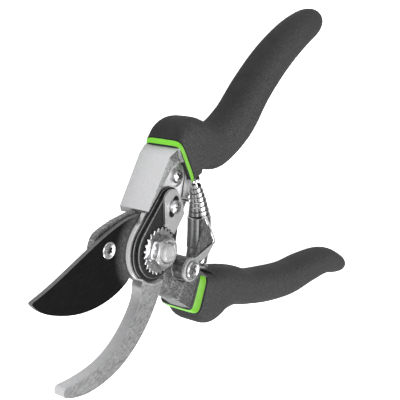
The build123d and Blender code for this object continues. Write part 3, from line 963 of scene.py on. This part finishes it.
def blade_bolt():
    """The flush blade screw with a six-pointed recess."""
    low, high = node_box("blade_screw")
    centre = ((low.x + high.x) / 2, (low.y + high.y) / 2)
    top = high.z + 0.03
    step_level = 13.2
    profile = [(2.2, low.z), (2.2, step_level), (3.65, step_level), (3.65, top - 0.25),
               (3.4, top), (2.6, top), (2.4, top - 0.12), (0, top - 0.12)]
    piece = lathe("look_blade_screw", profile, centre)
    dress(piece, "screw_steel", "painted_recess_shade")
    outline = []
    for point in range(24):
        radius = 1.55 + 0.38 * cos(tau * point / 4)
        angle = tau * point / 24
        outline.append((centre[0] + radius * cos(angle), centre[1] + radius * sin(angle)))
    recess(piece, prism("star", outline, top - 1.2, top + 1))
    shade(piece, 35)
    return stand_for(piece, "blade_screw")


blade_bolt()


def threaded_bolt():
    """The pivot bolt: a round head below, a threaded end above the nut."""
    top = node_box("pivot_bolt")[1].z
    radius = BOLT_R
    profile = [(7.4, 0.0), (8.1, 0.25), (8.5, 0.8), (8.5, 2.1), (8.2, 2.6), (radius, 2.6)]
    level = 16.0
    profile.append((radius, level))
    pitch = 0.9
    while level < top - 1.6:
        profile += [(radius, level), (radius - 0.42, level + pitch / 2)]
        level += pitch
    profile += [(radius, level), (radius - 0.15, top - 0.8), (radius - 0.9, top),
                (1.9, top), (1.6, top - 0.25), (0, top - 0.25)]
    piece = lathe("look_pivot_bolt", profile, (0, 0))
    dress(piece, "polished_edge")
    shade(piece, 30)
    return stand_for(piece, "pivot_bolt")


threaded_bolt()


def hex_nut():
    """A hex nut whose corners are cut by a cone at both ends."""
    low, high = node_box("pivot_nut")
    flats = 13.0
    turn = 48.7
    corner = flats / 2 / cos(pi / 6)
    outline = [(corner * cos(radians(turn + 60 * side)), corner * sin(radians(turn + 60 * side)))
               for side in range(6)]
    piece = prism("look_pivot_nut", outline, low.z, high.z)
    slope = 0.75
    flat_r = flats / 2 - 0.1
    cone = lathe("cone", [(flat_r - 0.5, low.z - 0.01), (flat_r + 2, low.z + 2.5 * slope),
                          (flat_r + 2, high.z - 2.5 * slope), (flat_r - 0.5, high.z + 0.01)])
    boolean(piece, cone, "INTERSECT")
    bore = lathe("bore", [(4.05, low.z - 1), (4.05, high.z - 0.8), (4.9, high.z + 0.05),
                          (4.9, high.z + 1)])
    boolean(piece, bore)
    dress(piece, "nut_zinc")
    soften(piece, 0.18, 2, 25)
    shade(piece, 30)
    return stand_for(piece, "pivot_nut")


hex_nut()


def turned(node, material, profile, hollow=False):
    """A small turned piece on the CAD node's own vertical axis."""
    centre = node_centre(node)
    make = tube if hollow else lathe
    piece = make("look_" + node, profile, (centre.x, centre.y), 72)
    dress(piece, material)
    shade(piece, 35)
    return stand_for(piece, node)


def pin(node, radius, material):
    """A plain pin with chamfered ends."""
    low, high = node_box(node)
    chamfer = 0.3
    turned(node, material, [(radius - chamfer, low.z), (radius, low.z + chamfer),
                            (radius, high.z - chamfer), (radius - chamfer * 0.6, high.z - 0.06),
                            (radius * 0.3, high.z), (0, high.z)])


def ring_part(node, inner, outer, material):
    """A washer or bush with broken edges."""
    low, high = node_box(node)
    edge = min(0.25, (high.z - low.z) * 0.3)
    turned(node, material, [(inner, low.z + edge), (inner + edge, low.z), (outer - edge, low.z),
                            (outer, low.z + edge), (outer, high.z - edge),
                            (outer - edge, high.z), (inner + edge, high.z),
                            (inner, high.z - edge)], True)


pin("stop_pin", 1.5, "screw_steel")
pin("catch_pin", 0.9, "screw_steel")
ring_part("pivot_washer", BOLT_R, 10.0, "screw_steel")
ring_part("pivot_bush", BOLT_R + 0.05, 5.5, "bush_brass")


def catch_screw():
    """The shouldered screw that holds the catch lever, with a wide flat head."""
    low, high = node_box("catch_screw")
    centre = ((low.x + high.x) / 2, (low.y + high.y) / 2)
    top = high.z
    under = top - 1.55
    profile = [(2.0, low.z), (2.0, 21.55), (2.6, 21.55), (2.6, under), (4.0, under),
               (4.1, under + 0.15), (4.1, top - 0.5), (3.7, top), (3.1, top - 0.25), (0, top - 0.3)]
    piece = lathe("look_catch_screw", profile, centre)
    dress(piece, "screw_steel", "painted_recess_shade")
    recess(piece, cross_cutter(centre, top - 0.3, 2.3, 0.9, 1.2, 30))
    shade(piece, 35)
    return stand_for(piece, "catch_screw")


catch_screw()


# ---- spring: its axis is an arc through three points, its turns are a flat strip -----------
SPRING_AXIS = [Vector((43.0, 6.6)), Vector((39.4, -13.6)), Vector((29.4, -31.6))]


def circle_through(a, b, c):
    """Centre of the circle through three points in plan."""
    turn = 2 * (a.x * (b.y - c.y) + b.x * (c.y - a.y) + c.x * (a.y - b.y))
    x = (a.length_squared * (b.y - c.y) + b.length_squared * (c.y - a.y)
         + c.length_squared * (a.y - b.y)) / turn
    y = (a.length_squared * (c.x - b.x) + b.length_squared * (a.x - c.x)
         + c.length_squared * (b.x - a.x)) / turn
    return Vector((x, y))


SPRING_CENTRE = circle_through(*SPRING_AXIS)
SPRING_BEND_R = (SPRING_AXIS[0] - SPRING_CENTRE).length
SPRING_FROM = atan2(*reversed(SPRING_AXIS[0] - SPRING_CENTRE))
SPRING_TO = atan2(*reversed(SPRING_AXIS[2] - SPRING_CENTRE))
SPRING_LENGTH = abs(SPRING_TO - SPRING_FROM) * SPRING_BEND_R


def spring_point(along, radius, turn):
    """A point beside the spring's axis; along is in millimetres from the small end."""
    angle = SPRING_FROM + (SPRING_TO - SPRING_FROM) * along / SPRING_LENGTH
    reach = SPRING_BEND_R + radius * cos(turn)
    return (SPRING_CENTRE.x + reach * cos(angle), SPRING_CENTRE.y + reach * sin(angle),
            GRIP_MID + radius * sin(turn))


def spring_frame(along):
    """Matrix whose z runs along the spring's axis toward the large end."""
    here = Vector(spring_point(along, 0, 0))
    ahead = Vector(spring_point(along + 0.1, 0, 0))
    z_axis = (ahead - here).normalized()
    x_axis = Vector((0, 0, 1))
    y_axis = z_axis.cross(x_axis)
    matrix = Matrix((x_axis, y_axis, z_axis)).transposed().to_4x4()
    matrix.translation = here
    return matrix


def strip_profile(width, wall, edge):
    """Rounded cross-section of the spring strip: (along, outward) pairs."""
    half = width / 2
    return [(-half, -wall + edge), (-half, -edge), (-half + edge * 0.4, -edge * 0.3),
            (-half + edge * 1.2, 0), (half - edge * 1.2, 0), (half - edge * 0.4, -edge * 0.3),
            (half, -edge), (half, -wall + edge), (half - edge, -wall), (-half + edge, -wall)]


def spring_strip(name, start, end, turns, first_r, last_r, width, wall, first_turn=0.0):
    """A flat strip wound round the axis, its middle running from start to end."""
    steps = int(turns * 56)
    loops = []
    for step in range(steps + 1):
        share = step / steps
        middle = start + (end - start) * share
        radius = first_r + (last_r - first_r) * share
        turn = first_turn + tau * turns * share
        loops.append([spring_point(middle + along, radius + outward, turn)
                      for along, outward in strip_profile(width, wall, 0.12)])
    piece = loft(name, loops)
    corners = len(loops[0])
    # the inner face and one side of the strip take the second material: painted shade between the turns
    for face in piece.data.polygons:
        places = [vertex % corners for vertex in face.vertices]
        if min(places) > 4 or max(places) - min(places) > 4:
            face.material_index = 1
    return piece


def spring_sleeve(name, start, end, radius, wall):
    """The long smooth turn that closes on itself."""
    steps = 72
    edge = 0.35
    profile = [(start, radius - edge), (start + edge * 0.4, radius - edge * 0.25)]
    rows = 12
    for row in range(rows + 1):
        share = row / rows
        bulge = 0.12 * sin(pi * share)
        profile.append((start + edge + (end - start - 2 * edge) * share, radius + bulge))
    profile += [(end - edge * 0.4, radius - edge * 0.25), (end, radius - edge),
                (end, radius - wall), (start, radius - wall)]
    return loft(name, [[spring_point(along, reach, tau * step / steps) for step in range(steps)]
                       for along, reach in profile], True)


CONE_SHARE = 0.43
BARREL_SHARE = 0.82


def volute_spring():
    """A coned strip spring: seven overlapping turns, a long smooth turn and a last one."""
    cone_end = CONE_SHARE * SPRING_LENGTH
    turns = 7
    pitch = cone_end / turns
    pieces = [
        spring_strip("cone", pitch * 0.5 + 0.5, cone_end + 0.4, turns, 2.5, 5.3, pitch * 0.80,
                     0.42, 2.0),
        spring_sleeve("barrel", cone_end, BARREL_SHARE * SPRING_LENGTH, 5.6, 0.7),
        spring_sleeve("last_turn", (BARREL_SHARE - 0.03) * SPRING_LENGTH,
                      0.985 * SPRING_LENGTH, 5.1, 0.7),
    ]
    spring = joined("look_return_spring", *pieces)
    dress(spring, "spring_steel", "painted_recess_shade")
    shade(spring, 40)
    ends = [Vector((point.x, point.y, GRIP_MID)) * MM for point in
            (SPRING_AXIS[0], SPRING_AXIS[2])]
    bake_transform(spring, "upper_handle", "lower_handle", start=tuple(ends[0]), end=tuple(ends[1]))
    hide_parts("return_spring")


volute_spring()


def spring_peg():
    """The peg on the upper handle that the small end of the spring is hooked on."""
    piece = lathe("look_upper_spring_peg", [
        (1.4, -14.0), (1.4, -1.7), (2.6, -1.7), (2.9, -1.4), (2.9, -0.5), (2.6, -0.2),
        (1.4, -0.2), (1.4, 1.6), (1.1, 2.0), (0, 2.0)])
    place_on(piece, spring_frame(0))
    dress(piece, "screw_steel")
    shade(piece, 35)
    stand_for(piece, "upper_spring_peg")


def spring_cup():
    """The flanged seat that the large end of the spring stands on."""
    piece = lathe("look_spring_seat", [
        (3.0, 11.0), (3.0, 1.6), (5.9, 1.6), (6.2, 1.3), (6.2, 0.3), (5.9, 0.0),
        (3.9, 0.0), (3.9, -3.1), (3.6, -3.5), (0, -3.5)])
    place_on(piece, spring_frame(SPRING_LENGTH))
    dress(piece, "cast_aluminium")
    shade(piece, 35)
    stand_for(piece, "spring_seat")


spring_peg()
spring_cup()


# ---- camera, light, floor -----------------------------------------------------------------
def camera():
    data = bpy.data.cameras.new("camera")
    data.lens = 72
    data.sensor_width = 36
    data.clip_start = 0.005
    eye = bpy.data.objects.new("camera", data)
    right = Vector((0.5539, -0.2157, 0.8041))
    up = Vector((0.5472, 0.8222, -0.1563))
    back = Vector((-0.6275, 0.5266, 0.5736))
    matrix = Matrix((right, up, back)).transposed().to_4x4()
    matrix.translation = Vector((-0.1920, 0.1932, 0.2266))
    eye.matrix_world = matrix
    bpy.context.scene.collection.objects.link(eye)
    bpy.context.scene.camera = eye


def softbox(name, place, aim, size, power):
    """A square area light at place (metres) that faces aim."""
    data = bpy.data.lights.new(name, "AREA")
    data.size = size
    data.energy = power
    lamp = bpy.data.objects.new(name, data)
    lamp.location = place
    lamp.rotation_euler = (Vector(aim) - Vector(place)).to_track_quat("-Z", "Y").to_euler()
    bpy.context.scene.collection.objects.link(lamp)


DARK_SIDE = (0.6275, -0.5266, 0.5736)


def studio_world():
    """A light tent with one dark side for the polished metal; the camera sees it white."""
    world = bpy.data.worlds.new("studio")
    world.use_nodes = True
    tree = world.node_tree
    background = tree.nodes["Background"]
    texture = tree.nodes.new("ShaderNodeTexCoord")
    toward = tree.nodes.new("ShaderNodeVectorMath")
    toward.operation = "DOT_PRODUCT"
    toward.inputs[1].default_value = DARK_SIDE
    tree.links.new(texture.outputs["Generated"], toward.inputs[0])
    ramp = tree.nodes.new("ShaderNodeValToRGB")
    # brightness against the cosine of the angle from the dark side
    stops = [(-1.0, 0.55), (-0.2, 0.75), (0.25, 1.0), (0.45, 0.35), (0.62, 0.12), (0.8, 0.3),
             (0.93, 0.16), (1.0, 0.3)]
    while len(ramp.color_ramp.elements) < len(stops):
        ramp.color_ramp.elements.new(0.5)
    for element, (position, value) in zip(ramp.color_ramp.elements, stops):
        element.position = (position + 1) / 2
        element.color = (value, value, value, 1)
    half = tree.nodes.new("ShaderNodeMapRange")
    half.inputs["From Min"].default_value = -1.0
    tree.links.new(toward.outputs["Value"], half.inputs["Value"])
    tree.links.new(half.outputs["Result"], ramp.inputs["Fac"])
    path = tree.nodes.new("ShaderNodeLightPath")
    choose = tree.nodes.new("ShaderNodeMix")
    choose.data_type = "RGBA"
    tree.links.new(path.outputs["Is Camera Ray"], choose.inputs[0])
    tree.links.new(ramp.outputs["Color"], choose.inputs[6])
    choose.inputs[7].default_value = (1, 1, 1, 1)
    tree.links.new(choose.outputs[2], background.inputs["Color"])
    background.inputs["Strength"].default_value = 0.9
    bpy.context.scene.world = world


def floor():
    """A plain pale floor under the tool, its shadows washed out for the camera."""
    mesh = bpy.data.meshes.new("floor")
    half = 3.0
    level = -0.0004
    mesh.from_pydata([(-half, -half, level), (half, -half, level), (half, half, level),
                      (-half, half, level)], [], [(0, 1, 2, 3)])
    board = add_object("floor", mesh)
    paint = Finish("floor_paint", (0.93, 0.93, 0.93), 0.9)
    cloud = paint.noise((40, 40, 40), 2)
    paint.link(paint.ramp(cloud, [(0.3, grey(0.925)), (0.7, grey(0.935))]), "Base Color")
    paint.shader.inputs["Emission Color"].default_value = (1, 1, 1, 1)
    seen = paint.tree.nodes.new("ShaderNodeLightPath").outputs["Is Camera Ray"]
    paint.link(paint.range(seen, 0.3, 1.3, 0.0, 1.0), "Emission Strength")
    mesh.materials.append(paint.material)


bpy.context.scene.view_settings.view_transform = "Standard"
camera()
for light in [
        # name, place, aim, size, watts
        ("key", (0.1, -0.25, 0.8), (0.02, -0.02, 0.01), 0.6, 4.3),
        ("fill", (-0.5, 0.35, 0.6), (0.02, 0.0, 0.01), 0.5, 2),
        ("edge", (-0.45, -0.45, 0.35), (-0.02, 0.0, 0.01), 0.2, 1.2)]:
    softbox(*light)
studio_world()
floor()
